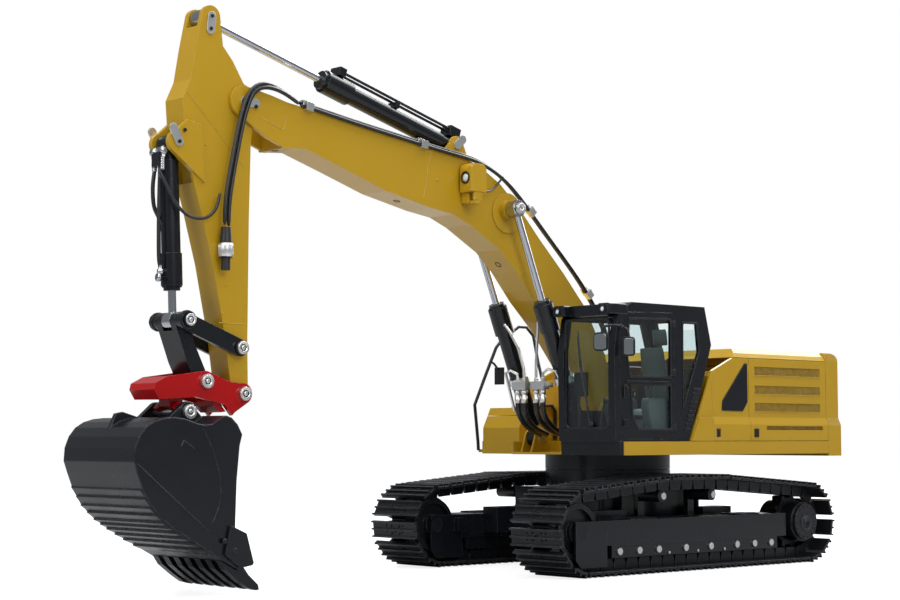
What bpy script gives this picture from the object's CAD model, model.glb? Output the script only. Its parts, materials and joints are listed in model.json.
import json
import math

import bmesh
import bpy
from mathutils import Matrix, Vector


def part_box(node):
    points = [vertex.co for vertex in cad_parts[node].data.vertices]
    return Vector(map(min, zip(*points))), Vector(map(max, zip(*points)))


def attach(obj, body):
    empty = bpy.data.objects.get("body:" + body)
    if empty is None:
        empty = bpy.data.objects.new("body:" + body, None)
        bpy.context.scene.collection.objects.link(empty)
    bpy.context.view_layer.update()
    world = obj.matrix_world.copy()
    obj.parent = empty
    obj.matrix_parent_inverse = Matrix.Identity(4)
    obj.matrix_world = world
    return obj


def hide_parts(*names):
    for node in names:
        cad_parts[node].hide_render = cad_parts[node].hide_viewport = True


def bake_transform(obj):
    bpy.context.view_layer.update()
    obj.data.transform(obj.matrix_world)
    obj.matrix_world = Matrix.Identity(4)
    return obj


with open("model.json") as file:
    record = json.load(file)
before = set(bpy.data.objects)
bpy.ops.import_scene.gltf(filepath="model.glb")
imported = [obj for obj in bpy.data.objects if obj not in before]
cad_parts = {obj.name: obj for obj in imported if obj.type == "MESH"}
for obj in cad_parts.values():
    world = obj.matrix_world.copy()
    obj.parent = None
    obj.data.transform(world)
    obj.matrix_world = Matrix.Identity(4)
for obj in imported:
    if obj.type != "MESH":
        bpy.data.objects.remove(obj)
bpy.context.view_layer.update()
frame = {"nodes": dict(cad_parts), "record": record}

MM = 0.001
LEFT, RIGHT = 1, -1
BOTH = ((LEFT, "left"), (RIGHT, "right"))
SHARP = math.radians(38)
TUBE_STEPS = 4


# ---------- Helpers ----------

SWING_X = (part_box("slew_ring")[0].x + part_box("slew_ring")[1].x) / 2 / MM


# Where an outline's two numbers and a depth go when it is extruded along each axis.
PLACE = {
    "Y": lambda p, d: (p[0], d, p[1]),
    "X": lambda p, d: (d, p[0], p[1]),
}


def low_high(node):
    """A CAD node's lowest and highest corner in millimetres from the swing axis."""
    low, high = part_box(node)
    shift = Vector((SWING_X, 0, 0))
    return low / MM - shift, high / MM - shift


def put(name, data):
    """A new object in the scene."""
    thing = bpy.data.objects.new(name, data)
    bpy.context.scene.collection.objects.link(thing)
    return thing


def circle(middle, across, other, radius, sides):
    """Points round a middle, in the plane of two directions."""
    points = []
    for k in range(sides):
        turn = 2 * math.pi * k / sides
        points.append(middle + (across * math.cos(turn) + other * math.sin(turn)) * radius)
    return points


def skin(rings, sides):
    """Faces between neighbouring rings of points, and the two end caps."""
    faces = []
    for ring in range(rings - 1):
        for k in range(sides):
            a, b = ring * sides + k, ring * sides + (k + 1) % sides
            faces.append((a, b, b + sides, a + sides))
    last = (rings - 1) * sides
    return faces + [tuple(range(sides)), tuple(range(last + sides - 1, last - 1, -1))]


def rectangle(x0, x1, z0, z1):
    return [(x0, z0), (x1, z0), (x1, z1), (x0, z1)]


class Shape:
    """Collects solids into one mesh, in millimetres."""

    def __init__(self):
        self.bm = bmesh.new()

    def add(self, verts, faces, bevel=0.0, smooth=False):
        """One closed solid, with its sharp edges bevelled."""
        part = bmesh.new()
        corners = [part.verts.new(v) for v in verts]
        for face in faces:
            part.faces.new([corners[i] for i in face])
        bmesh.ops.recalc_face_normals(part, faces=part.faces)
        if bevel:
            sharp = [e for e in part.edges if e.calc_face_angle(0) > SHARP]
            bmesh.ops.bevel(part, geom=sharp, offset=bevel, segments=2, affect="EDGES", clamp_overlap=True)
        for face in part.faces:
            face.smooth = smooth
        mesh = bpy.data.meshes.new("part")
        part.to_mesh(mesh)
        part.free()
        self.bm.from_mesh(mesh)
        bpy.data.meshes.remove(mesh)
        return self

    def prism(self, outline, low, high, axis="Y", bevel=0.2):
        """An outline extruded along Y (outline in x, z) or along X (outline in y, z)."""
        n = len(outline)
        verts = [PLACE[axis](p, depth) for depth in (low, high) for p in outline]
        sides = [(i, (i + 1) % n, n + (i + 1) % n, n + i) for i in range(n)]
        return self.add(verts, sides + [tuple(range(n)), tuple(range(2 * n - 1, n - 1, -1))], bevel)

    def box(self, low, high, bevel=0.2):
        return self.prism(rectangle(low[0], high[0], low[2], high[2]), low[1], high[1], "Y", bevel)

    def turned(self, start, end, profile, sides=32):
        """A solid of revolution from start to end; profile holds (distance along, radius) pairs."""
        start, end = Vector(start), Vector(end)
        axis = (end - start).normalized()
        across = axis.orthogonal().normalized()
        other = axis.cross(across)
        verts = []
        for along, radius in profile:
            verts += circle(start + axis * along, across, other, radius, sides)
        return self.add(verts, skin(len(profile), sides), 0.0, sides > 8)

    def bar(self, start, end, radius, sides, chamfer):
        """A round bar with chamfered ends."""
        length = (Vector(end) - Vector(start)).length
        edge = min(chamfer, length / 3, radius / 3)
        profile = [(0, radius - edge), (edge, radius), (length - edge, radius), (length, radius - edge)]
        return self.turned(start, end, profile, sides)

    def bolt(self, place, outward, radius, height):
        """A hexagon bolt head on a washer, with a chamfered top."""
        place, outward = Vector(place), Vector(outward).normalized()
        self.bar(place, place + outward * height * 0.25, radius * 1.25, 24, 0.08)
        top = [(0, radius), (height * 0.8, radius), (height, radius * 0.82)]
        return self.turned(place + outward * height * 0.25, place + outward * height * 1.25, top, 6)

    def socket(self, place, outward, radius, height):
        """A cylinder-head screw with a hexagon socket."""
        place, outward = Vector(place), Vector(outward).normalized()
        profile = [(0, radius), (height * 0.85, radius), (height, radius * 0.85), (height, radius * 0.5)]
        self.turned(place, place + outward * height, profile, 24)
        inner = [(0, radius * 0.5), (height * 0.6, radius * 0.48)]
        return self.turned(place + outward * height, place, inner, 6)

    def tube(self, points, radius, sides):
        """A round tube on a smooth curve through the points."""
        path = smooth_path([Vector(p) for p in points], TUBE_STEPS)
        verts = []
        across = None
        for i, point in enumerate(path):
            tangent = (path[min(i + 1, len(path) - 1)] - path[max(i - 1, 0)]).normalized()
            across = tangent.orthogonal() if across is None else across - tangent * across.dot(tangent)
            across.normalize()
            verts += circle(point, across, tangent.cross(across), radius, sides)
        return self.add(verts, skin(len(path), sides), 0.0, True)

    def border(self, outer, inner, low, high, axis="Y"):
        """A closed frame between two outlines with the same number of points, extruded along Y or X."""
        n = len(outer)
        verts = [PLACE[axis](p, depth) for depth in (low, high) for ring in (outer, inner) for p in ring]
        faces = []
        for i in range(n):
            j = (i + 1) % n
            faces += [(i, j, n + j, n + i), (2 * n + i, 2 * n + j, 3 * n + j, 3 * n + i),
                      (i, j, 2 * n + j, 2 * n + i), (n + i, n + j, 3 * n + j, 3 * n + i)]
        return self.add(verts, faces, 0.12)

    def piece(self, name, body, material, slot):
        """The collected solids as one object that rides on a body."""
        mesh = bpy.data.meshes.new(name)
        self.bm.to_mesh(mesh)
        self.bm.free()
        mesh.transform(Matrix.Translation((SWING_X * MM, 0, 0)) @ Matrix.Scale(MM, 4))
        mesh.materials.append(material)
        thing = put(name, mesh)
        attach(thing, body)
        return thing


def smooth_path(points, steps):
    """Catmull-Rom points through a list of points."""
    path = []
    for i in range(len(points) - 1):
        a, b = points[max(i - 1, 0)], points[i]
        c, d = points[i + 1], points[min(i + 2, len(points) - 1)]
        for k in range(steps):
            t = k / steps
            path.append(0.5 * (2 * b + (c - a) * t + (2 * a - 5 * b + 4 * c - d) * t ** 2
                               + (3 * b - a - 3 * c + d) * t ** 3))
    path.append(points[-1])
    return path


def rounded(outline, radius, steps=4):
    """An outline with its corners rounded."""
    result = []
    n = len(outline)
    for i in range(n):
        before, corner, after = (Vector(outline[(i + k) % n]) for k in (-1, 0, 1))
        reach = min(radius, (before - corner).length / 2.2, (after - corner).length / 2.2)
        start = corner + (before - corner).normalized() * reach
        end = corner + (after - corner).normalized() * reach
        for k in range(steps + 1):
            t = k / steps
            result.append(tuple(start * (1 - t) ** 2 + corner * 2 * t * (1 - t) + end * t ** 2))
    return result


def inset(outline, distance):
    """An outline moved inwards by a distance, point by point."""
    n = len(outline)
    area = sum(p[0] * q[1] - q[0] * p[1] for p, q in zip(outline, outline[1:] + outline[:1]))
    turn = 1 if area > 0 else -1
    result = []
    for i in range(n):
        before, here, after = (Vector(outline[(i + k) % n]) for k in (-1, 0, 1))
        a, b = (here - before).normalized(), (after - here).normalized()
        normal = Vector((-(a.y + b.y), a.x + b.x)) * turn
        normal.normalize()
        scale = max(0.5, math.sqrt(max(0.0, (1 + a.dot(b)) / 2)))
        result.append(tuple(here + normal * distance / scale))
    return result


# ---------- Materials ----------

def add_node(tree, kind, inputs=None, **settings):
    """A shader node; inputs are values or the sockets that feed them."""
    node = tree.nodes.new(kind)
    for key, value in settings.items():
        setattr(node, key, value)
    for key, value in (inputs or {}).items():
        if isinstance(value, bpy.types.NodeSocket):
            tree.links.new(value, node.inputs[key])
        else:
            node.inputs[key].default_value = value
    return node


def rgba(colour):
    return tuple(colour) + (1.0,)


def blend_colours(tree, amount, low, high):
    """A colour mix; low and high are colours or sockets."""
    mix = add_node(tree, "ShaderNodeMix", data_type="RGBA")
    tree.links.new(amount, mix.inputs[0])
    for value, socket in ((low, mix.inputs[6]), (high, mix.inputs[7])):
        if isinstance(value, bpy.types.NodeSocket):
            tree.links.new(value, socket)
        else:
            socket.default_value = rgba(value)
    return mix.outputs[2]


def spread_value(tree, value, low_in, high_in, low_out, high_out):
    """A value moved from one range to another, and kept within it."""
    ends = {"Value": value, "From Min": low_in, "From Max": high_in, "To Min": low_out, "To Max": high_out}
    return add_node(tree, "ShaderNodeMapRange", ends).outputs["Result"]


def wear_mask(tree, place, soft, amount):
    """Where edges are worn: the softened normal leaves the flat one, broken up by noise."""
    flat = add_node(tree, "ShaderNodeNewGeometry")
    normals = {0: soft, 1: flat.outputs["Normal"]}
    bend = add_node(tree, "ShaderNodeVectorMath", normals, operation="DOT_PRODUCT")
    rim = spread_value(tree, bend.outputs["Value"], 0.99, 0.82, 0.0, amount)
    patch = add_node(tree, "ShaderNodeTexNoise", {"Vector": place, "Scale": 190.0, "Detail": 5.0})
    keep = spread_value(tree, patch.outputs["Fac"], 0.35, 0.6, 0.25, 1.0)
    return add_node(tree, "ShaderNodeMath", {0: rim, 1: keep}, operation="MULTIPLY").outputs["Value"]


COAT_ROUGHNESS = 0.1
GRAIN_DEPTH = 0.0002
COAT_LINE = 0.05
GLOSS_SPREAD = 0.06


def surface(name, colour, rough, metal=0.0, coat=0.0, worn=None, wear=0.5, blotch=0.12, grain=900.0,
            bump=0.04, edge=0.35, below=None, shine=0.5):
    """A procedural finish: blotchy colour and gloss, fine grain, softened edges that wear to a second colour.

    below = (height, colour) gives all under a height another colour, as on a part sprayed in two coats.
    """
    material = bpy.data.materials.new(name)
    material.use_nodes = True
    tree = material.node_tree
    shader = tree.nodes["Principled BSDF"]
    place = add_node(tree, "ShaderNodeTexCoord").outputs["Object"]
    broad = {"Vector": place, "Scale": 24.0, "Detail": 4.0, "Roughness": 0.6}
    cloud = add_node(tree, "ShaderNodeTexNoise", broad).outputs["Fac"]
    close = {"Vector": place, "Scale": grain, "Detail": 3.0}
    fine = add_node(tree, "ShaderNodeTexNoise", close).outputs["Fac"]
    soft = add_node(tree, "ShaderNodeBevel", {"Radius": edge * MM}, samples=4).outputs["Normal"]
    dark, light = [tuple(c * f for c in colour) for f in (1 - blotch, 1 + blotch)]
    paint = blend_colours(tree, cloud, dark, light)
    if below:
        height = add_node(tree, "ShaderNodeSeparateXYZ", {"Vector": place}).outputs["Z"]
        low, high = (below[0] - COAT_LINE) * MM, (below[0] + COAT_LINE) * MM
        step = spread_value(tree, height, low, high, 0.0, 1.0)
        paint = blend_colours(tree, step, below[1], paint)
    if worn:
        paint = blend_colours(tree, wear_mask(tree, place, soft, wear), paint, worn)
    tree.links.new(paint, shader.inputs["Base Color"])
    gloss = spread_value(tree, cloud, 0.3, 0.7, max(0.02, rough - GLOSS_SPREAD), rough + GLOSS_SPREAD)
    tree.links.new(gloss, shader.inputs["Roughness"])
    relief = add_node(tree, "ShaderNodeBump", {"Strength": bump, "Distance": GRAIN_DEPTH, "Height": fine,
                                               "Normal": soft})
    tree.links.new(relief.outputs["Normal"], shader.inputs["Normal"])
    shader.inputs["Metallic"].default_value = metal
    shader.inputs["Specular IOR Level"].default_value = shine
    shader.inputs["Coat Weight"].default_value = coat
    shader.inputs["Coat Roughness"].default_value = COAT_ROUGHNESS
    return material


def brushed(name, colour, rough, stretch=(1.0, 60.0, 1.0), bump=0.08):
    """Turned or brushed metal with fine lines."""
    material = surface(name, colour, rough, metal=1.0, blotch=0.06, bump=bump, edge=0.25)
    tree = material.node_tree
    place = add_node(tree, "ShaderNodeTexCoord").outputs["Object"]
    squeeze = add_node(tree, "ShaderNodeMapping", {"Vector": place, "Scale": stretch})
    lines = add_node(tree, "ShaderNodeTexNoise", {"Vector": squeeze.outputs["Vector"], "Scale": 120.0,
                                                  "Detail": 2.0})
    relief = next(n for n in tree.nodes if n.type == "BUMP")
    tree.links.new(lines.outputs["Fac"], relief.inputs["Height"])
    return material


def glass(name, tint):
    """Thin clear panes: see-through head on, mirror-like at a slant, with faint streaks."""
    material = bpy.data.materials.new(name)
    material.use_nodes = True
    tree = material.node_tree
    tree.nodes.remove(tree.nodes["Principled BSDF"])
    place = add_node(tree, "ShaderNodeTexCoord").outputs["Object"]
    streak = add_node(tree, "ShaderNodeTexNoise", {"Vector": place, "Scale": 40.0, "Detail": 3.0})
    rough = spread_value(tree, streak.outputs["Fac"], 0.0, 1.0, 0.0, 0.06)
    clear = add_node(tree, "ShaderNodeBsdfTransparent", {"Color": rgba(tint)})
    shine = add_node(tree, "ShaderNodeBsdfGlossy", {"Color": (1, 1, 1, 1), "Roughness": rough})
    slant = add_node(tree, "ShaderNodeLayerWeight", {"Blend": 0.5}).outputs["Facing"]
    steep = add_node(tree, "ShaderNodeMath", {0: slant, 1: 4.0}, operation="POWER").outputs["Value"]
    amount = spread_value(tree, steep, 0.0, 1.0, 0.035, 0.9)
    both = add_node(tree, "ShaderNodeMixShader", {0: amount, 1: clear.outputs[0], 2: shine.outputs[0]})
    tree.links.new(both.outputs[0], tree.nodes["Material Output"].inputs["Surface"])
    return material


YELLOW = (0.48, 0.285, 0.011)
YELLOW_WORN = (0.82, 0.62, 0.2)
BLACK = (0.0055, 0.0072, 0.0098)
BLACK_WORN = (0.13, 0.145, 0.165)
DECK_UNDERSIDE = 85.0
YELLOW_COAT = {"coat": 0.3, "worn": YELLOW_WORN, "wear": 0.75, "blotch": 0.05, "shine": 0.3}
BLACK_COAT = {"worn": BLACK_WORN, "blotch": 0.2, "shine": 0.35}
made = {
    "yellow": surface("yellow_paint", YELLOW, 0.34, **YELLOW_COAT),
    "deck": surface("yellow_deck_paint", YELLOW, 0.34, below=(DECK_UNDERSIDE, BLACK), **YELLOW_COAT),
    "black": surface("black_paint", BLACK, 0.26, coat=0.12, wear=0.9, **BLACK_COAT),
    "bucket": surface("bucket_black", BLACK, 0.28, coat=0.12, wear=0.3, edge=1.6, **BLACK_COAT),
    "satin": surface("satin_black", (0.008, 0.009, 0.0105), 0.42, wear=0.7, bump=0.12, **BLACK_COAT),
    "track": surface("track_metal", (0.012, 0.013, 0.0155), 0.36, metal=0.35, worn=(0.2, 0.21, 0.225),
                     wear=1.0, blotch=0.25, bump=0.15, grain=600.0),
    "steel": brushed("bright_steel", (0.78, 0.78, 0.77), 0.33),
    "chrome": brushed("chromed_rod", (0.50, 0.52, 0.56), 0.16, bump=0.015),
    "ring": brushed("ring_steel", (0.42, 0.43, 0.45), 0.36, (1.0, 1.0, 60.0)),
    "rubber": surface("hose_rubber", (0.008, 0.0085, 0.0095), 0.36, coat=0.15, blotch=0.2, bump=0.1,
                      grain=1500.0, edge=0.2),
    "plastic": surface("black_plastic", (0.012, 0.0125, 0.014), 0.42, blotch=0.15, bump=0.2, grain=1800.0),
    "seat": surface("seat_plastic", (0.085, 0.112, 0.104), 0.55, blotch=0.12, bump=0.3, grain=1400.0),
    "glass": glass("clear_glass", (0.9, 0.95, 0.955)),
    "lens": surface("lamp_lens", (0.72, 0.82, 0.95), 0.08, coat=0.9, blotch=0.04, bump=0.1, grain=1200.0),
    "red": surface("red_paint", (0.42, 0.002, 0.003), 0.22, coat=0.3, worn=(0.8, 0.16, 0.14), wear=0.6,
                   blotch=0.06, shine=0.25),
    "blue": surface("battery_wrap", (0.03, 0.09, 0.28), 0.3, coat=0.4, blotch=0.1),
    "board": surface("board_green", (0.02, 0.16, 0.06), 0.35, coat=0.3, blotch=0.2, grain=400.0),
    "mirror": brushed("mirror_glass", (0.45, 0.48, 0.5), 0.06),
}
SLOT_MATERIAL = {
    "yellow_paint": "yellow", "black_paint": "black", "track_metal": "track", "bright_steel": "steel",
    "chromed_rod": "chrome", "ring_steel": "ring", "hose_rubber": "rubber", "black_plastic": "plastic",
    "seat_plastic": "seat", "clear_glass": "glass", "lamp_lens": "lens", "red_paint": "red",
    "battery_wrap": "blue", "board_green": "board",
}
NODE_MATERIAL = {
    "handrails": "satin", "exhaust_pipe": "satin", "left_grilles": "satin", "right_grilles": "satin",
    "platform": "deck", "bucket": "bucket",
}


def paint_cad_nodes():
    for entry in frame["record"]["subparts"]:
        node = frame["nodes"][entry["node"]]
        key = NODE_MATERIAL.get(entry["node"], SLOT_MATERIAL[entry["material_slot"]])
        node.data.materials.clear()
        node.data.materials.append(made[key])


# ---------- Hoses ----------

# How far apart in metres a tube's points may be and still be joined, and which triangles make one face.
WELD = 0.00002
JOIN_ANGLE = 0.6
JOIN_SHAPE = 0.8


def round_hose(name, node, body, crossing=None):
    """A rounder hose on a CAD hose's own route: its faceted tube, subdivided. It replaces that node."""
    mesh = frame["nodes"][node].data.copy()
    bm = bmesh.new()
    bm.from_mesh(mesh)
    bmesh.ops.remove_doubles(bm, verts=bm.verts, dist=WELD)
    triangles = [f for f in bm.faces if len(f.verts) == 3]
    bmesh.ops.join_triangles(bm, faces=triangles, angle_face_threshold=JOIN_ANGLE,
                             angle_shape_threshold=JOIN_SHAPE)
    for face in bm.faces:
        face.smooth = True
    bm.to_mesh(mesh)
    bm.free()
    mesh.materials.clear()
    mesh.materials.append(made["rubber"])
    hose = put(name, mesh)
    round_it = hose.modifiers.new("round", "SUBSURF")
    round_it.levels = round_it.render_levels = 1
    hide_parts(node)
    if crossing:
        bpy.context.view_layer.objects.active = hose
        hose.select_set(True)
        bpy.ops.object.modifier_apply(modifier="round")
        hose.select_set(False)
        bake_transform(hose)
    else:
        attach(hose, body)


def round_hoses():
    """Hoses on the boom, and those that cross to the stick and bend as it swings."""
    round_hose("boom_hoses_round", "boom_hoses", "boom")
    start, end = [((x + SWING_X) * MM, 0, z * MM) for x, z in ((322, 326), (364, 326))]
    round_hose("stick_hoses_round", "stick_hoses", "stick", ("boom", "stick", start, end))


# ---------- Camera, floor and light ----------
# Here places and sizes are in metres, powers in watts, angles in degrees, and the lens in millimetres.

LENS = 73.6
SENSOR_WIDTH = 36.0
EYE_AHEAD, EYE_LEFT, EYE_HEIGHT = 1.0699, 0.9914, 0.0981
LOOK_TURN = 47.69
LOOK_UP = 4.26
FLOOR_REACH = 8.0
FLOOR_DROP = 0.0006
FLOOR_GLOW = 0.82
ROOM_STRENGTH = 0.28
AIM = (0.0, 0.0, 0.12)
LIGHTS = {
    "overhead": ((0.0, 0.1, 1.5), (2.4, 1.6), 30.0),
    "rim": ((-1.5, -0.5, 1.5), (2.0, 2.6), 85.0),
    "key": ((0.5, 1.7, 1.0), (0.9, 0.9), 11.0),
    "front": ((1.9, 0.1, 1.2), (1.0, 1.2), 14.0),
}


def set_view():
    """The photo's view: from ahead on the left, close to the ground, looking slightly up."""
    camera = put("camera", bpy.data.cameras.new("camera"))
    camera.data.lens = LENS
    camera.data.sensor_width = SENSOR_WIDTH
    camera.location = (EYE_AHEAD + SWING_X * MM, EYE_LEFT, EYE_HEIGHT)
    turn, rise = math.radians(LOOK_TURN), math.radians(LOOK_UP)
    ahead = Vector((-math.cos(turn) * math.cos(rise), -math.sin(turn) * math.cos(rise), math.sin(rise)))
    camera.rotation_euler = ahead.to_track_quat("-Z", "Y").to_euler()
    bpy.context.scene.camera = camera
    bpy.context.scene.view_settings.view_transform = "Standard"


def set_floor():
    """A floor that the camera sees as white, and that bounces less light than it shows."""
    mesh = bpy.data.meshes.new("floor")
    square = rectangle(-FLOOR_REACH, FLOOR_REACH, -FLOOR_REACH, FLOOR_REACH)
    mesh.from_pydata([(x, y, 0) for x, y in square], [], [(0, 1, 2, 3)])
    floor = put("floor", mesh)
    floor.location.z = -FLOOR_DROP
    pale = surface("pale_floor", (0.4, 0.4, 0.41), 0.2, blotch=0.01, bump=0.0, grain=200.0, shine=0.3)
    tree = pale.node_tree
    seen = add_node(tree, "ShaderNodeLightPath").outputs["Is Camera Ray"]
    glow = spread_value(tree, seen, 0.0, 1.0, 0.0, FLOOR_GLOW)
    shader = tree.nodes["Principled BSDF"]
    shader.inputs["Emission Color"].default_value = (1, 1, 1, 1)
    tree.links.new(glow, shader.inputs["Emission Strength"])
    mesh.materials.append(pale)


def area_light(name, place, size, power):
    """A soft box that points at the machine."""
    light = bpy.data.lights.new(name, "AREA")
    light.shape = "RECTANGLE"
    light.size, light.size_y = size
    light.energy = power
    thing = put(name, light)
    thing.location = place
    thing.rotation_euler = (Vector(AIM) - Vector(place)).to_track_quat("-Z", "Y").to_euler()


def set_light():
    """A white backdrop, a dim room for reflections, and soft boxes above and all round the machine."""
    world = bpy.data.worlds.new("studio")
    bpy.context.scene.world = world
    world.use_nodes = True
    tree = world.node_tree
    room = tree.nodes["Background"]
    room.inputs["Color"].default_value = (0.93, 0.97, 1.0, 1.0)
    room.inputs["Strength"].default_value = ROOM_STRENGTH
    backdrop = add_node(tree, "ShaderNodeBackground", {"Color": (1, 1, 1, 1), "Strength": 1.0})
    seen = add_node(tree, "ShaderNodeLightPath").outputs["Is Camera Ray"]
    both = add_node(tree, "ShaderNodeMixShader", {0: seen, 1: room.outputs[0], 2: backdrop.outputs[0]})
    tree.links.new(both.outputs[0], tree.nodes["World Output"].inputs["Surface"])
    for name, (place, size, power) in LIGHTS.items():
        area_light(name, place, size, power)


# ---------- Undercarriage ----------

CAP_SCREWS = 14
CAP_SCREW_CIRCLE = 12.2
HUB_PLATE = [(0, 7.2), (0.3, 7.2), (0.5, 6.8), (0.5, 3.4), (0.25, 3.2)]
SHOE_THICKNESS = 1.9
SHOE_SCREW_ALONG = 2.7
SHOE_SCREW_ACROSS = 4.4
SHOE_SCREW = [(-0.4, 0.8), (0.4, 0.8), (0.6, 0.5)]
SHOE_PLUG = [(-0.4, 1.9), (0.2, 1.9), (0.3, 1.7), (0.3, 1.3), (-0.2, 1.2)]


def drive_cap(side, word):
    """Ring of screws and a hub plate on a sprocket's cover."""
    low, high = low_high("sprocket_" + word)
    x, z = (low.x + high.x) / 2, (low.z + high.z) / 2
    face = high.y if side == LEFT else low.y
    shape = Shape()
    for k in range(CAP_SCREWS):
        turn = 2 * math.pi * k / CAP_SCREWS
        place = (x + CAP_SCREW_CIRCLE * math.cos(turn), face, z + CAP_SCREW_CIRCLE * math.sin(turn))
        shape.socket(place, (0, side, 0), 0.75, 0.5)
    shape.turned((x, face, z), (x, face + side, z), HUB_PLATE, 48)
    shape.piece(f"drive_cap_{word}", "sprocket_" + word, made["black"], "black_paint")


def shoe_faces(node):
    """For each shoe: the middle of its inner face in millimetres, and the direction away from the chain."""
    mesh = frame["nodes"][node].data
    bm = bmesh.new()
    bm.from_mesh(mesh)
    bmesh.ops.remove_doubles(bm, verts=bm.verts, dist=0.000001)
    bmesh.ops.dissolve_limit(bm, angle_limit=0.01, verts=bm.verts, edges=bm.edges)
    seen, found = set(), []
    for start in bm.faces:
        if start.index in seen:
            continue
        island, todo = [], [start]
        seen.add(start.index)
        while todo:
            face = todo.pop()
            island.append(face)
            for edge in face.edges:
                for other in edge.link_faces:
                    if other.index not in seen:
                        seen.add(other.index)
                        todo.append(other)
        inner = max(island, key=lambda f: f.calc_area())
        found.append((inner.calc_center_median() / MM, -inner.normal.copy()))
    bm.free()
    return found


def shoe_hardware():
    """A plug and four screws on every track shoe."""
    for side, word in BOTH:
        shape = Shape()
        for middle, out in shoe_faces("track_shoes_" + word):
            middle.x -= SWING_X
            along = Vector((0, 1, 0)).cross(out)
            top = middle + out * SHOE_THICKNESS
            for a, b in ((-1, -1), (-1, 1), (1, -1), (1, 1)):
                foot = top + along * a * SHOE_SCREW_ALONG + Vector((0, b * SHOE_SCREW_ACROSS, 0))
                shape.turned(foot, foot + out, SHOE_SCREW, 6)
            shape.turned(top, top + out, SHOE_PLUG, 12)
        shape.piece(f"shoe_screws_{word}", "undercarriage", made["satin"], "track_metal")


def undercarriage_detail():
    for side, word in BOTH:
        drive_cap(side, word)
    shoe_hardware()


# ---------- House ----------

GRILLE_BANDS = (117.8, 131.3, 146.0)
GRILLE_HEIGHT = 6.8
GRILLE_X = (-155.0, -71.0)
LOW_GRILLE_X = (-156.0, -83.0)
SHEET_Y = 90.5
PANEL_Y = 92.5
PANEL_TOP = 108.0
MESH_PITCH = 1.7
MESH_BAR = 0.42
MESH_DEPTH = 0.45
SHORTEST_BAR = 0.6
HINGE_X = (-63.5, -162.8)
HINGE_Z = (101.0, 124.0, 150.0)
LOCK_Z = 101.3


def lattice(shape, x0, x1, z0, z1, y, side):
    """Expanded metal between x0 and x1, z0 and z1: two sets of bars at 45 degrees, cut off at both sides."""
    height = z1 - z0
    half = MESH_BAR / 2
    y0, y1 = sorted((y, y + side * MESH_DEPTH))
    for lean in (-1, 1):
        for k in range(int((x1 - x0 + height) / MESH_PITCH)):
            foot = x0 - (height if lean > 0 else 0) + k * MESH_PITCH
            head = foot + lean * height
            xa, xb = (min(max(x, x0), x1) for x in (foot, head))
            za, zb = z0 + abs(foot - xa), z1 - abs(head - xb)
            outline = [(xa - half, za), (xa + half, za), (xb + half, zb), (xb - half, zb)]
            if zb - za >= SHORTEST_BAR:
                shape.prism(outline, y0, y1, "Y", 0.0)


def grille_detail(side, word, body):
    """Mesh in each opening, and the folded lip below it."""
    mesh, lips = Shape(), Shape()
    for bottom in GRILLE_BANDS:
        lattice(mesh, GRILLE_X[0] + 0.2, GRILLE_X[1] - 0.2, bottom + 0.2, bottom + GRILLE_HEIGHT - 0.2,
                side * (SHEET_Y - 0.85), side)
        back, front = SHEET_Y - 0.9, SHEET_Y + 0.6
        lip = [(back, bottom - 0.1), (front, bottom - 0.1), (front, bottom + 0.35), (back, bottom + 0.2)]
        lips.prism([(y * side, h) for y, h in lip], GRILLE_X[0] - 0.6, GRILLE_X[1] + 0.6, "X", 0.1)
    lattice(mesh, LOW_GRILLE_X[0], LOW_GRILLE_X[1], 103.8, 106.4, side * (SHEET_Y + 0.2), side)
    mesh.piece(f"{word}_grille_mesh", body, made["yellow"], "yellow_paint")
    lips.piece(f"{word}_grille_lips", body, made["yellow"], "yellow_paint")


def latch(shape, x, z, side):
    """A flush pull latch: dished plate, paddle and lock."""
    y = (PANEL_Y - 0.9) * side
    for reach, out in ((2.3, 0.5), (1.6, 0.9)):
        outline = rounded(rectangle(x - reach, x + reach, z - 3.0, z + 3.0), 0.8)
        y0, y1 = sorted((y, y + side * out))
        shape.prism(outline, y0, y1, "Y", 0.2)
    lock = [(0, 0.8), (0.3, 0.8), (0.4, 0.6)]
    shape.turned((x, y + side * 0.9, z + 1.6), (x, y + side * 1.3, z + 1.6), lock, 16)


def badge():
    """The plain black plate in the front door's recess."""
    outline = [(-58.6, 155.2), (-61.8, 155.2), (-62.0, 125.1), (-55.9, 117.8), (-30.7, 118.1), (-31.3, 125.8)]
    shape = Shape().prism(rounded(inset(outline, 0.25), 0.6), 90.0, 90.9, "Y", 0.12)
    shape.piece("badge_plate", "left_front_door", made["black"], "black_paint")


def house_detail():
    grille_detail(LEFT, "left", "left_rear_door")
    grille_detail(RIGHT, "right", "right_door")
    badge()
    locks = {"left_front_door": (-24.6, LEFT), "left_rear_door": (-70.2, LEFT), "right_door": (-24.6, RIGHT)}
    for body, (x, side) in locks.items():
        shape = Shape()
        latch(shape, x, LOCK_Z, side)
        shape.piece(f"{body}_latch", body, made["satin"], "black_paint")
    hinges = Shape()
    for x in HINGE_X:
        for z in HINGE_Z:
            y = PANEL_Y if z < PANEL_TOP else SHEET_Y
            hinges.bar((x, y - 0.1, z - 2.0), (x, y - 0.1, z + 2.0), 0.45, 16, 0.1)
    hinges.piece("door_hinge_knuckles", "house", made["yellow"], "yellow_paint")


# ---------- Cab ----------

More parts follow.
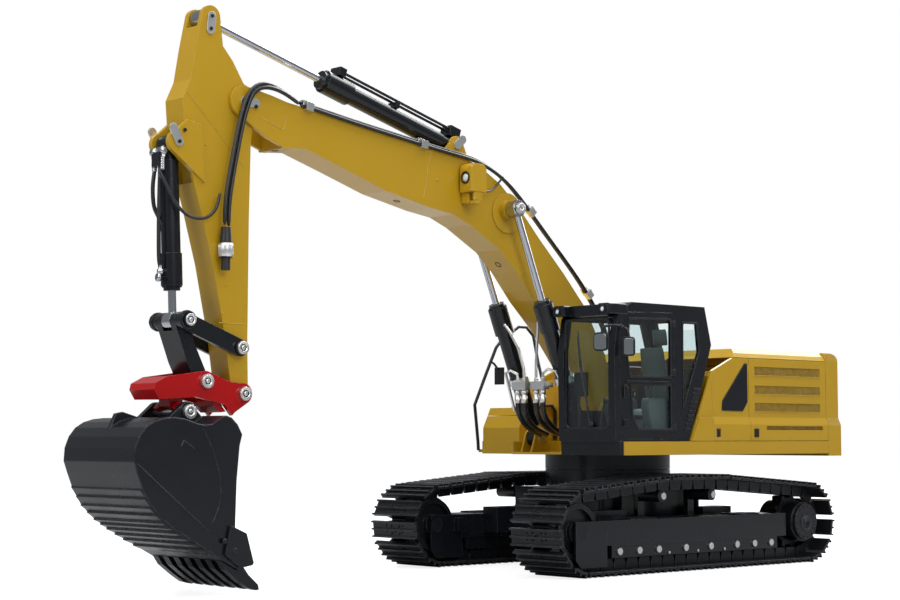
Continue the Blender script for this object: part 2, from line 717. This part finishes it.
CAB_FACE_Y = 90.0
UPPER_PANE = [(73.0, 184.5), (76.0, 160.0), (73.0, 141.5), (27.0, 142.0), (27.0, 186.0)]
LOWER_PANE = [(72.0, 136.5), (70.0, 112.0), (64.0, 103.4), (27.0, 103.4), (27.0, 137.0)]
REAR_PANE = [(14.0, 184.0), (-3.0, 184.0), (-5.5, 162.0), (14.0, 119.0)]
WINDSCREEN = rectangle(39, 84, 104, 185)
CAB_FLOOR = 98.2
BACK_LEAN = 80.0
CUSHION_ROWS = 9
LAMP_BACK, LAMP_FRONT = 74.0, 94.6
MIRROR_PLATES = ((82.0, 89.4, 178.4), (80.5, 89.6, 177.2))


def seal(shape, outline):
    """A rubber seal round a side pane."""
    shape.border(rounded(inset(outline, -0.5), 1.6), rounded(inset(outline, 1.1), 1.6),
                 CAB_FACE_Y - 0.2, CAB_FACE_Y - 0.2 + 0.6)


def cushion(name, low, high, bulge, material):
    """A crowned, padded form with drawn-in sides, in millimetres."""
    bm = bmesh.new()
    last = CUSHION_ROWS - 1
    size = Vector(high) - Vector(low)
    grid = {}
    for top in (0, 1):
        for i in range(CUSHION_ROWS):
            for j in range(CUSHION_ROWS):
                u, v = i / last, j / last
                crown = (math.sin(math.pi * u) * math.sin(math.pi * v)) ** 0.35
                pull = 1 - 0.04 * (1 - crown)
                x = low[0] + size.x * (0.5 + (u - 0.5) * pull)
                y = low[1] + size.y * (0.5 + (v - 0.5) * pull)
                z = low[2] + size.z * (0.35 + 0.3 * crown + bulge * crown if top else 0.35 * (1 - crown))
                grid[top, i, j] = bm.verts.new((x, y, z))
    for i in range(last):
        for j in range(last):
            for top in (0, 1):
                quad = [grid[top, i, j], grid[top, i + 1, j], grid[top, i + 1, j + 1], grid[top, i, j + 1]]
                bm.faces.new(quad if top else quad[::-1])
    rim = [(i, 0) for i in range(last)] + [(last, j) for j in range(last)]
    rim += [(i, last) for i in range(last, 0, -1)] + [(0, j) for j in range(last, 0, -1)]
    for k, here in enumerate(rim):
        after = rim[(k + 1) % len(rim)]
        bm.faces.new([grid[(0,) + here], grid[(0,) + after], grid[(1,) + after], grid[(1,) + here]])
    bmesh.ops.recalc_face_normals(bm, faces=bm.faces)
    for face in bm.faces:
        face.smooth = True
    mesh = bpy.data.meshes.new(name)
    bm.to_mesh(mesh)
    bm.free()
    mesh.transform(Matrix.Scale(MM, 4))
    mesh.materials.append(material)
    thing = put(name, mesh)
    soft = thing.modifiers.new("soft", "SUBSURF")
    soft.levels = soft.render_levels = 2
    return thing


def operator_seat():
    """Seat with cushion, back, headrest, consoles, levers and monitor. It replaces the CAD seat."""
    base = Shape()
    base.prism(rounded([(14, CAB_FLOOR), (40, CAB_FLOOR), (37, 112), (13, 112)], 2), 50, 72, "Y", 0.5)
    console = rounded([(14, CAB_FLOOR), (40, CAB_FLOOR), (46, 118), (46, 127), (15, 127)], 3)
    for y in (39.0, 76.4):
        base.prism(console, y, y + 7, "Y", 0.8)
    base.prism(rounded([(70, CAB_FLOOR), (78, CAB_FLOOR), (80, 103), (68, 103)], 1), 50, 72, "Y", 0.4)
    seat = base.piece("seat_base", "house", made["seat"], "seat_plastic")
    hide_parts("cab_interior")
    pad = cushion("seat_cushion", (10, 48, 111), (42, 74, 120.5), 0.25, made["seat"])
    back = cushion("seat_back", (-24, 48.5, -5), (24, 73.5, 4.5), 0.3, made["seat"])
    head = cushion("headrest", (-6.5, 53.5, -3), (6.5, 68.5, 3), 0.3, made["seat"])
    for thing, place in ((back, (10.5, 0, 143.5)), (head, (5.6, 0, 174.0))):
        thing.data.transform(Matrix.Rotation(-math.radians(BACK_LEAN), 4, "Y"))
        thing.data.transform(Matrix.Translation(Vector(place) * MM))
    for thing in (pad, back, head):
        thing.data.transform(Matrix.Translation((SWING_X * MM, 0, 0)))
        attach(thing, "house")
    levers = Shape()
    grip = [(0, 1.2), (0.8, 1.9), (4, 1.7), (7.5, 2.1), (9, 1.6), (9.4, 0.6)]
    knob = [(0, 1.0), (0.8, 1.8), (3.2, 1.8), (4.2, 0.9)]
    for y in (42.5, 79.9):
        levers.tube([(38, y, 126.5), (38.4, y, 131), (39.4, y, 135)], 0.9, 12)
        levers.turned((39.2, y, 133.5), (41, y, 142.5), grip, 20)
    for y in (55.0, 66.0):
        levers.tube([(66, y, CAB_FLOOR), (65.6, y, 112), (61.5, y, 124)], 0.9, 12)
        levers.turned((61.9, y, 122.8), (60.6, y, 127), knob, 20)
    levers.piece("cab_levers", "house", made["plastic"], "seat_plastic")
    screen = Shape()
    screen.prism(rounded(rectangle(76, 78.4, 128, 146), 0.6), 39, 52, "Y", 0.3)
    screen.tube([(77.5, 44, CAB_FLOOR), (78, 44, 116), (77.6, 44, 129)], 1.0, 12)
    screen.piece("cab_monitor", "house", made["plastic"], "black_plastic")


def cab_windows():
    """Seals round the side panes and the windscreen."""
    fixed, door = Shape(), Shape()
    seal(fixed, REAR_PANE)
    seal(door, UPPER_PANE)
    seal(door, LOWER_PANE)
    fixed.border(rounded(WINDSCREEN, 4.0), rounded(inset(WINDSCREEN, 1.4), 3.4), 86.6, 87.9, "X")
    fixed.piece("window_seals", "house", made["rubber"], "hose_rubber")
    door.piece("door_window_seals", "cab_door", made["rubber"], "hose_rubber")


def cab_door_hardware():
    """Outer and inner handles, and three hinges."""
    shape = Shape()
    shape.prism(rounded(rectangle(76.4, 79.6, 126, 136), 1.0), CAB_FACE_Y, CAB_FACE_Y + 1.0)
    shape.tube([(77.6, 90.8, 127.6), (77.6, 92.4, 128.4), (77.6, 92.6, 131), (77.6, 92.4, 133.6),
                (77.6, 90.8, 134.4)], 0.6, 12)
    shape.tube([(74.5, 86.4, 111), (74.5, 84.6, 113), (75.4, 84.4, 130), (75.4, 86.4, 132)], 0.7, 12)
    for z in (105.0, 146.0, 182.0):
        shape.bar((23.4, 90.4, z - 3), (23.4, 90.4, z + 3), 0.8, 16, 0.2)
        shape.box((23.6, 90.0, z - 2.4), (27.4, 90.6, z + 2.4), 0.15)
    shape.piece("door_handle_and_hinges", "cab_door", made["satin"], "black_paint")


def roof_lamps():
    """Two chunky lamp housings jutting from the roof's front corners, each with a small lens."""
    housing, rims, lenses = Shape(), Shape(), Shape()
    low, high = low_high("cab_lights")
    z = (low.z + high.z) / 2
    for y in (low.y + 3.4, high.y - 3.4):
        bottom, top = z - 3.6, z + 4.4
        outline = rounded([(y - 6.4, bottom), (y + 6.4, bottom), (y + 5.6, top), (y - 5.6, top)], 1.4)
        housing.prism(outline, LAMP_BACK, LAMP_FRONT, "X", 0.9)
        housing.prism(inset(outline, 1.4), LAMP_FRONT - 0.2, LAMP_FRONT + 0.7, "X", 0.2)
        rims.turned((94.8, y, z), (97, y, z), [(0, 2.6), (0.9, 2.6), (1.1, 2.4), (1.1, 2.0), (0.4, 1.8)], 32)
        lenses.turned((94.9, y, z), (97, y, z), [(0, 1.75), (0.5, 1.75), (0.9, 1.2), (1.0, 0.5)], 32)
    housing.piece("roof_lamp_housings", "house", made["black"], "black_paint")
    rims.piece("roof_lamp_rims", "house", made["satin"], "black_paint")
    lens = lenses.piece("roof_lamp_lenses", "house", made["lens"], "lamp_lens")
    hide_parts("cab_lights")


def mirror_head(shells, mirrors, centre, size, turn):
    """A rounded mirror shell and its glass, turned about Z."""
    shell, pane = Shape(), Shape()
    w, h, d = size
    outline = rounded(rectangle(-w / 2, w / 2, -h / 2, h / 2), min(w, h) / 3.2, 5)
    shell.prism(outline, -d / 2, d / 2, "X", d / 3)
    pane.prism(inset(outline, 1.3), d / 2 - 0.3, d / 2 + 0.15, "X", 0.1)
    place = Matrix.Translation(Vector(centre)) @ Matrix.Rotation(math.radians(turn), 4, "Z")
    for part, target in ((shell, shells), (pane, mirrors)):
        mesh = bpy.data.meshes.new("part")
        part.bm.to_mesh(mesh)
        part.bm.free()
        mesh.transform(place)
        target.bm.from_mesh(mesh)
        bpy.data.meshes.remove(mesh)


def cab_mirrors():
    """Two mirrors on bent arms, with a round plate where each arm meets the cab."""
    shells, mirrors = Shape(), Shape()
    mirror_head(shells, mirrors, (99.6, 86.8, 166.6), (13.0, 13.6, 2.4), 8)
    mirror_head(shells, mirrors, (80.6, 96.4, 163.4), (9.4, 14.0, 2.2), 34)
    shells.tube([(82.0, 89.4, 178.4), (87.5, 90.8, 178.6), (93.5, 90.2, 178.4), (97.6, 88.6, 177.4),
                 (98.9, 87.4, 174.6), (98.6, 86.9, 168)], 1.0, 12)
    shells.tube([(80.5, 90, 177.2), (80.4, 92.8, 176.8), (80.0, 95.0, 174.6), (79.6, 96.0, 168)], 1.0, 12)
    for x, y, z in MIRROR_PLATES:
        shells.turned((x, y, z), (x, y + 1, z), [(-0.6, 1.9), (0.8, 1.9), (1.3, 1.4)], 20)
    shell = shells.piece("mirror_shells", "house", made["satin"], "black_paint")
    mirrors.piece("mirror_panes", "house", made["mirror"], "bright_steel")
    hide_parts("cab_mirrors")


def wiper():
    """Parked wiper: arm, blade and pivot on the windscreen."""
    shape = Shape()
    shape.turned((87.9, 66, 107), (89.6, 66, 107), [(0, 2.0), (1.2, 2.0), (1.6, 1.4)], 20)
    shape.tube([(89.2, 66, 107), (89.6, 63, 124), (89.6, 57, 148)], 0.55, 10)
    shape.tube([(88.5, 62, 122), (88.7, 57.4, 146), (88.5, 53.4, 176)], 0.45, 8)
    shape.piece("wiper_arm_and_blade", "house", made["satin"], "black_paint")


def cab_detail():
    cab_windows()
    cab_door_hardware()
    roof_lamps()
    cab_mirrors()
    wiper()
    operator_seat()


# ---------- Work equipment ----------

BOOM_SIDE = 13.0
STICK_SIDE = low_high("stick")[1].y - 1.6
BUCKET_SIDE = 41.0
CUTTER_SIDE = 43.0
DRAIN_X = (327.5, 219.0, 118.7)
LAMP_FACE = 171.4
LAMP_Y, LAMP_Z = 21.0, 285.6
SLEEVE_RADIUS = 4.85
SLEEVE_RIBS = 36
PORT_X = 85.2
HOSE_RADIUS = 1.7


def beads(lines, y, radius=0.28):
    """Weld beads and sheet edges along lines in the x-z plane, on both sides."""
    shape = Shape()
    for line in lines:
        for side in (LEFT, RIGHT):
            for a, b in zip(line, line[1:]):
                shape.bar((a[0], side * y, a[1]), (b[0], side * y, b[1]), radius, 8, 0.05)
    return shape


def disc_pair(shape, place, y, profile, sides=40):
    """The same turned detail on the left and right of a part."""
    for side in (LEFT, RIGHT):
        shape.turned((place[0], side * y, place[1]), (place[0], side * (y + 1), place[1]), profile, sides)


def boom_detail():
    """Weld beads, the screws of the head's lock plates and the caps on the cylinders' upper pin."""
    lines = [[(197.4, 305.6), (204.8, 268.8)], [(349, 309.6), (329.9, 303.4), (326.8, 314.6)]]
    seams = beads(lines, BOOM_SIDE)
    disc_pair(seams, (191.5, 282.7), BOOM_SIDE, [(-0.2, 1.3), (0.35, 1.3), (0.55, 0.9)], 24)
    seams.piece("boom_weld_beads", "boom", made["yellow"], "yellow_paint")
    rings = Shape()
    for place in ((362.6, 318.8), (353.9, 316.2)):
        disc_pair(rings, place, 14.2, [(-0.1, 1.3), (0.5, 1.3), (0.7, 1.0), (0.2, 0.8)], 20)
    rings.piece("boom_plate_screws", "boom", made["satin"], "black_paint")
    disc = Shape()
    disc_pair(disc, (124.5, 266.3), 31.4, [(-0.1, 3.6), (0.25, 3.6), (0.4, 3.3), (0.4, 1.6), (-0.1, 1.3)])
    disc.piece("boom_cylinder_pin_caps", "boom", made["steel"], "bright_steel")


def boom_drain_grommets():
    """Dark grommets in the boom's underside, set square to it."""
    shape = Shape()
    ring = [(-0.4, 2.6), (0.15, 2.6), (0.25, 2.3), (0.25, 1.9), (-0.3, 1.7)]
    for x in DRAIN_X:
        foot = Vector(((x + SWING_X) * MM, 0, 0))
        _, place, normal, _ = frame["nodes"]["boom"].ray_cast(foot, Vector((0, 0, 1)))
        place = place / MM - Vector((SWING_X, 0, 0))
        shape.turned(place, place + normal, ring, 28)
    shape.piece("boom_drain_grommets", "boom", made["satin"], "black_paint")


def work_light():
    """Yellow lamp housing on its bracket, with a recessed reflector and lens. It replaces the CAD lamp."""
    body, rim, lens = Shape(), Shape(), Shape()
    side = [(156, 275), (LAMP_FACE, 275), (LAMP_FACE, 292.4), (169, 296), (158.6, 296), (156, 293)]
    body.prism(rounded(side, 1.6), 14.6, 27.4, "Y", 0.5)
    body.box((160, 13.2, 267), (168.6, 21, 275.4), 0.5)
    body.box((162, 20.6, 266.4), (167.4, 27, 269.4), 0.5)
    body.prism(rounded(rectangle(160.6, 168, 269, 275.4), 0.8), 24.6, 27.0, "Y", 0.3)
    for z in (278.4, 293.2):
        body.socket((LAMP_FACE, 25.2, z), (1, 0, 0), 0.6, 0.4)
    ring = [(0, 4.6), (0.8, 4.6), (1.0, 4.3), (1.0, 3.7), (-0.4, 2.8)]
    dome = [(0, 2.8), (0.4, 2.7), (0.8, 1.8), (0.95, 0.7)]
    rim.turned((171.2, LAMP_Y, LAMP_Z), (173, LAMP_Y, LAMP_Z), ring, 40)
    lens.turned((171.1, LAMP_Y, LAMP_Z), (173, LAMP_Y, LAMP_Z), dome, 32)
    shell = body.piece("work_light_housing", "boom", made["yellow"], "yellow_paint")
    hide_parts("work_light")
    rim.piece("work_light_rim", "boom", made["satin"], "black_paint")
    lens.piece("work_light_lens", "boom", made["lens"], "lamp_lens")
    lead = Shape().tube([(156.2, 21, 278), (150, 20, 277.4), (142, 17.4, 279.4), (134, 15.6, 285),
                         (128, 15.2, 290.6)], 0.8, 12)
    lead.piece("work_light_lead", "boom", made["rubber"], "hose_rubber")


def stick_detail():
    """Weld beads, small screws and the screws of the lock plates."""
    lines = [[(405.4, 320.4), (359.7, 275.1)],
             [(401.9, 299.4), (402.2, 293.0), (394.4, 291.9), (394.8, 299.4), (401.9, 299.4)],
             [(379.4, 171.9), (360.4, 172.1)]]
    seams = beads(lines, STICK_SIDE)
    for place in ((390.8, 287.2), (400.4, 282.0), (373.6, 196.6), (376.0, 178.0)):
        disc_pair(seams, place, STICK_SIDE, [(-0.2, 0.7), (0.3, 0.7), (0.45, 0.4)], 12)
    seams.piece("stick_weld_beads", "stick", made["yellow"], "yellow_paint")
    screws = Shape()
    plates = {12.8: ((412.9, 286.8), (408.9, 294.6)), 11.2: ((387.5, 372.4), (388.3, 363.9))}
    for y, places in plates.items():
        for place in places:
            disc_pair(screws, place, y, [(-0.1, 1.25), (0.5, 1.25), (0.7, 0.95), (0.2, 0.75)], 20)
    screws.piece("stick_plate_screws", "stick", made["satin"], "black_paint")


def connector_band():
    """The quick coupling's knurled steel sleeve, round the hose connector on the stick."""
    low, high = low_high("hose_connector")
    x, y = (low.x + high.x) / 2, (low.y + high.y) / 2
    band = Shape()
    profile = [(0, 4.5), (0.3, SLEEVE_RADIUS), (8.6, SLEEVE_RADIUS), (8.9, 4.5)]
    band.turned((x, y, 214.6), (x, y, 224), profile, 48)
    for k in range(SLEEVE_RIBS):
        turn = 2 * math.pi * k / SLEEVE_RIBS
        foot = (x + SLEEVE_RADIUS * math.cos(turn), y + SLEEVE_RADIUS * math.sin(turn), 216.2)
        band.bar(foot, (foot[0], foot[1], 222.2), 0.2, 6, 0.06)
    band.piece("hose_connector_sleeve", "stick", made["steel"], "bright_steel")


def elbow(shape, head, foot):
    """A banjo fitting: round head, hexagon collar and crimped sleeve down to the hose."""
    head, foot = Vector(head), Vector(foot)
    down = (foot - head).normalized()
    near, far = head - Vector((0, 2.4, 0)), head + Vector((0, 2.4, 0))
    shape.turned(near, far, [(0, 2.3), (0.5, 2.7), (4.3, 2.7), (4.8, 2.3)], 24)
    shape.turned(far, head + Vector((0, 3.4, 0)), [(0, 1.9), (1.0, 1.9), (1.3, 1.6)], 6)
    shape.turned(head + down * 2.2, foot, [(0, HOSE_RADIUS * 1.25), (2.2, HOSE_RADIUS * 1.25)], 6)
    length = (foot - head).length - 4.4
    sleeve = [(0, HOSE_RADIUS)]
    for k in range(4):
        at = length * (0.2 + 0.2 * k)
        sleeve += [(at - 0.25, HOSE_RADIUS), (at, HOSE_RADIUS * 0.86), (at + 0.25, HOSE_RADIUS)]
    shape.turned(head + down * 4.4, foot, sleeve + [(length, HOSE_RADIUS * 0.92)], 20)


def bucket_cylinder_plumbing():
    """Fittings at the bucket cylinder's base end, their hoses, and the line down to the rod end."""
    fittings, lines = Shape(), Shape()
    elbow(fittings, (419.6, 3.6, 281.4), (419.6, 3.6, 268.8))
    elbow(fittings, (420.6, -4.4, 280.6), (420.4, -4.4, 268.2))
    fittings.box((416.4, -5, 278.6), (421.6, 4.4, 283.4), 0.5)
    ferrule = [(0, 1.5), (2.4, 1.5), (2.6, 2.2), (5.6, 2.2)]
    banjo = [(0, 2.0), (4.6, 2.0), (4.8, 2.7), (6.2, 2.7)]
    fittings.turned((419.6, 2.4, 207.4), (419.6, 2.4, 201.4), ferrule, 20)
    fittings.turned((415.6, 2.4, 199.6), (422, 2.4, 199.6), banjo, 24)
    lines.tube([(420.4, -4.4, 268.4), (421.4, -4.6, 258), (420.6, -4.2, 246), (417.6, -2.6, 238),
                (415.6, -1.4, 230)], 1.35, 14)
    lines.tube([(420.9, 2.4, 268), (421.3, 2.4, 240), (421.0, 2.4, 214), (419.8, 2.4, 206.4)], 1.2, 14)
    fittings.piece("bucket_cylinder_fittings", "bucket_barrel", made["chrome"], "chromed_rod")
    lines.piece("bucket_cylinder_lines", "bucket_barrel", made["rubber"], "hose_rubber")


def boom_cylinder_hoses():
    """Crimped ferrules under the port blocks and the black hoses that run from them to the deck."""
    ferrules, hoses = Shape(), Shape()
    crimp = [(0, 2.0), (1.2, 2.5), (2.6, 2.5), (2.8, 2.1), (4.4, 2.1), (4.6, 2.5), (9.6, 2.5), (9.9, 2.2)]
    plug = [(-0.2, 1.9), (2.4, 1.9), (2.8, 1.5)]
    bend = [(PORT_X, 124), (85, 120.5), (84.4, 116.6), (82.4, 113), (80, 109.9), (76.2, 106.8), (72, 104.2),
            (67, 102.2), (62, 100.6), (60.6, 100.2)]
    for side in (LEFT, RIGHT):
        for y in (side * 6.4, side * 13.4):
            ferrules.turned((PORT_X, y, 133.6), (PORT_X, y, 123), crimp, 20)
            hoses.tube([(x, y, z) for x, z in bend], 2.05, 16)
            ferrules.turned((PORT_X, y, 140), (PORT_X, y, 143), plug, 6)
    ferrules.piece("boom_hose_ferrules", "boom_barrels", made["steel"], "bright_steel")
    hoses.piece("boom_hose_ends", "boom_barrels", made["rubber"], "hose_rubber")


def pin_faces():
    """Turned rings and sockets on the pin heads of the coupler and the links."""
    shape = Shape()
    head = [(-0.2, 3.9), (0.2, 3.9), (0.3, 3.5), (0.3, 2.5), (0.0, 2.3), (0.0, 1.5), (0.35, 1.3), (0.35, 0.8)]
    for place, y in (((362.0, 126.3), 17.0), ((391.9, 133.8), 17.0), ((408.5, 114.2), 22.2)):
        disc_pair(shape, place, y, head)
    shape.piece("coupler_pin_faces", "bucket", made["steel"], "bright_steel")
    link = Shape()
    disc_pair(link, (408.2, 172.4), low_high("idler_links")[1].y, head)
    link.piece("link_pin_faces", "idler_links", made["steel"], "bright_steel")
    foot = Shape()
    disc_pair(foot, (364.6, 156.1), low_high("stick_pins")[1].y, head)
    foot.piece("link_foot_pin_faces", "stick", made["steel"], "bright_steel")


def bucket_detail():
    """Pressed crease, corner mark, weld stitches and cutter bolts on the bucket's sides."""
    creases = [[(459.4, 81.7), (407.7, 40.0)], [(428.2, 92.4), (426.5, 95.9), (417.9, 90.7)]]
    crease = beads(creases, BUCKET_SIDE, 0.42)
    stitches = [((456.0, 67.0), (451.5, 60.4)), ((448.7, 56.2), (443.7, 50.5)),
                ((439.3, 47.1), (433.7, 42.8)), ((429.2, 40.3), (421.3, 35.8)),
                ((417.9, 33.8), (409.9, 29.3)), ((406.4, 27.4), (399.0, 23.4))]
    for a, b in stitches:
        for side in (LEFT, RIGHT):
            y = side * (BUCKET_SIDE - 0.1)
            crease.bar((a[0], y, a[1]), (b[0], y, b[1]), 0.5, 8, 0.1)
    crease.piece("bucket_creases", "bucket", made["black"], "black_paint")
    weld = [(411.8, 103.0), (404.7, 90.6), (399.6, 76), (398.4, 64), (399.8, 54.4), (404.3, 45.1)]
    edge = beads([weld], BUCKET_SIDE, 0.3)
    edge.piece("bucket_side_weld", "bucket", made["black"], "black_paint")
    bolts = Shape()
    for place in ((396.4, 33.4), (388.4, 27.4)):
        for side in (LEFT, RIGHT):
            bolts.bolt((place[0], side * CUTTER_SIDE, place[1]), (0, side, 0), 1.4, 0.9)
    bolts.piece("cutter_bolts", "bucket", made["satin"], "black_paint")


def work_equipment_detail():
    boom_detail()
    boom_drain_grommets()
    work_light()
    stick_detail()
    connector_band()
    bucket_cylinder_plumbing()
    boom_cylinder_hoses()
    pin_faces()
    bucket_detail()


set_view()
set_floor()
set_light()
paint_cad_nodes()
round_hoses()
undercarriage_detail()
house_detail()
cab_detail()
work_equipment_detail()
